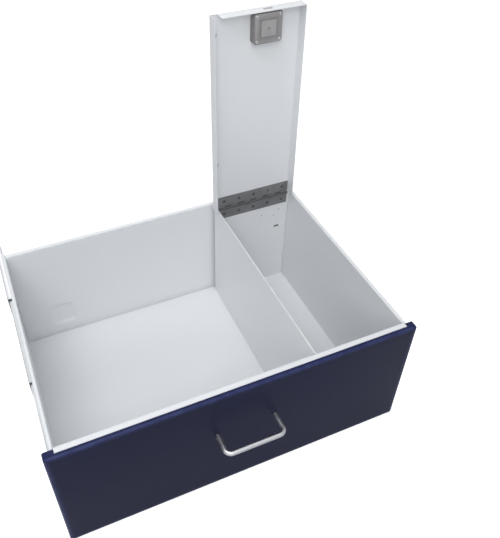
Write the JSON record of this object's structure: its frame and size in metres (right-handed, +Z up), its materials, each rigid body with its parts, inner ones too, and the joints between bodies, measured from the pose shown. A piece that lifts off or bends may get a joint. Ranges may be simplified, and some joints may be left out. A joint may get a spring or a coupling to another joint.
{
  "type": "drawer with lidded lock box",
  "caption": "Deep enamelled steel drawer on telescopic slides, with a lock box along one side under a hinged lid that locks into the front wall.",
  "frame": {"origin": "middle of the cabinet bay: halfway between the slides, in the plane of the shut drawer front's face, at that front's bottom edge", "axes": "+Z up, the front faces -Y, +X to the right as seen from the front; +Y is the way the drawer shuts"},
  "size_m": [0.589, 0.857, 0.6048],
  "materials": {
    "white_enamel": "satin powder coat",
    "blue_enamel": "semi-gloss powder coat",
    "chrome_wire": "polished",
    "zinc_steel": "bright zinc plate",
    "screw_steel": "bright zinc plate",
    "cage_steel": "plain rolled strip",
    "ball_steel": "polished",
    "hinge_steel": "dark satin steel",
    "rivet_steel": "dark steel",
    "lock_zinc": "grey die-cast zinc",
    "lock_chrome": "satin chrome",
    "rubber_grey": "matt"
  },
  "bodies": {
    "cabinet_rails": {"left_cabinet_member": "zinc_steel", "right_cabinet_member": "zinc_steel"},
    "left_intermediate": {"left_intermediate_member": "zinc_steel"},
    "right_intermediate": {"right_intermediate_member": "zinc_steel"},
    "left_outer_cage": {"left_outer_ball_cage": "cage_steel", "left_outer_balls": "ball_steel"},
    "right_outer_cage": {"right_outer_ball_cage": "cage_steel", "right_outer_balls": "ball_steel"},
    "left_inner_cage": {"left_inner_ball_cage": "cage_steel", "left_inner_balls": "ball_steel"},
    "right_inner_cage": {"right_inner_ball_cage": "cage_steel", "right_inner_balls": "ball_steel"},
    "lid": {"lid_pan": "white_enamel", "upper_hinge_leaf": "hinge_steel", "upper_leaf_rivets": "rivet_steel", "lid_bumpers": "rubber_grey", "lock_case": "lock_zinc", "lock_case_screws": "screw_steel", "lock_housing": "lock_chrome", "lock_nut": "lock_zinc"},
    "key_plug": {"lock_plug": "lock_chrome", "lock_cam": "lock_zinc"},
    "bolt": {"lock_bolt": "lock_zinc"},
    "drawer": {"drawer_tray": "white_enamel", "drawer_back": "white_enamel", "drawer_inner_front": "white_enamel", "lock_box_shell": "white_enamel", "lock_box_back": "white_enamel", "lock_box_front": "white_enamel", "front_panel": "blue_enamel", "drawer_pull": "chrome_wire", "left_drawer_member": "zinc_steel", "right_drawer_member": "zinc_steel", "drawer_member_screws": "screw_steel", "front_panel_screws": "screw_steel", "pull_screws": "screw_steel", "pull_spacers": "screw_steel", "lower_hinge_leaf": "hinge_steel", "hinge_pin": "hinge_steel", "lower_leaf_rivets": "rivet_steel", "lock_box_floor_rivets": "rivet_steel", "front_bumpers": "rubber_grey"}
  },
  "joints": [
    {"name": "drawer_slide", "type": "slide", "parent": "cabinet_rails", "child": "drawer", "axis": [0, 1, 0], "range_m": [0, 0.4]},
    {"name": "left_intermediate_slide", "type": "slide", "parent": "cabinet_rails", "child": "left_intermediate", "axis": [0, 1, 0], "range_m": [0, 0.2]},
    {"name": "left_outer_cage_slide", "type": "slide", "parent": "cabinet_rails", "child": "left_outer_cage", "axis": [0, 1, 0], "range_m": [0, 0.1]},
    {"name": "left_inner_cage_slide", "type": "slide", "parent": "cabinet_rails", "child": "left_inner_cage", "axis": [0, 1, 0], "range_m": [0, 0.3]},
    {"name": "right_intermediate_slide", "type": "slide", "parent": "cabinet_rails", "child": "right_intermediate", "axis": [0, 1, 0], "range_m": [0, 0.2]},
    {"name": "right_outer_cage_slide", "type": "slide", "parent": "cabinet_rails", "child": "right_outer_cage", "axis": [0, 1, 0], "range_m": [0, 0.1]},
    {"name": "right_inner_cage_slide", "type": "slide", "parent": "cabinet_rails", "child": "right_inner_cage", "axis": [0, 1, 0], "range_m": [0, 0.3]},
    {"name": "lid_hinge", "type": "hinge", "parent": "drawer", "child": "lid", "pos_m": [0.195, -0.00625, 0.2315], "axis": [1, 0, 0], "range_deg": [0, 91.5]},
    {"name": "key_turn", "type": "hinge", "parent": "lid", "child": "key_plug", "pos_m": [0.206, 0.00274, 0.57488], "axis": [0, -0.9997, 0.0262], "range_deg": [0, 90]},
    {"name": "bolt_slide", "type": "slide", "parent": "lid", "child": "bolt", "axis": [0, 0.0262, 0.9997], "range_m": [0, 0.012]}
  ],
  "couplings": [
    {"joint": "left_intermediate_slide", "follows": "drawer_slide", "ratio": 0.5},
    {"joint": "left_outer_cage_slide", "follows": "drawer_slide", "ratio": 0.25},
    {"joint": "left_inner_cage_slide", "follows": "drawer_slide", "ratio": 0.75},
    {"joint": "right_intermediate_slide", "follows": "drawer_slide", "ratio": 0.5},
    {"joint": "right_outer_cage_slide", "follows": "drawer_slide", "ratio": 0.25},
    {"joint": "right_inner_cage_slide", "follows": "drawer_slide", "ratio": 0.75},
    {"joint": "key_turn", "follows": "bolt_slide", "rad_per_m": 130.9}
  ]
}
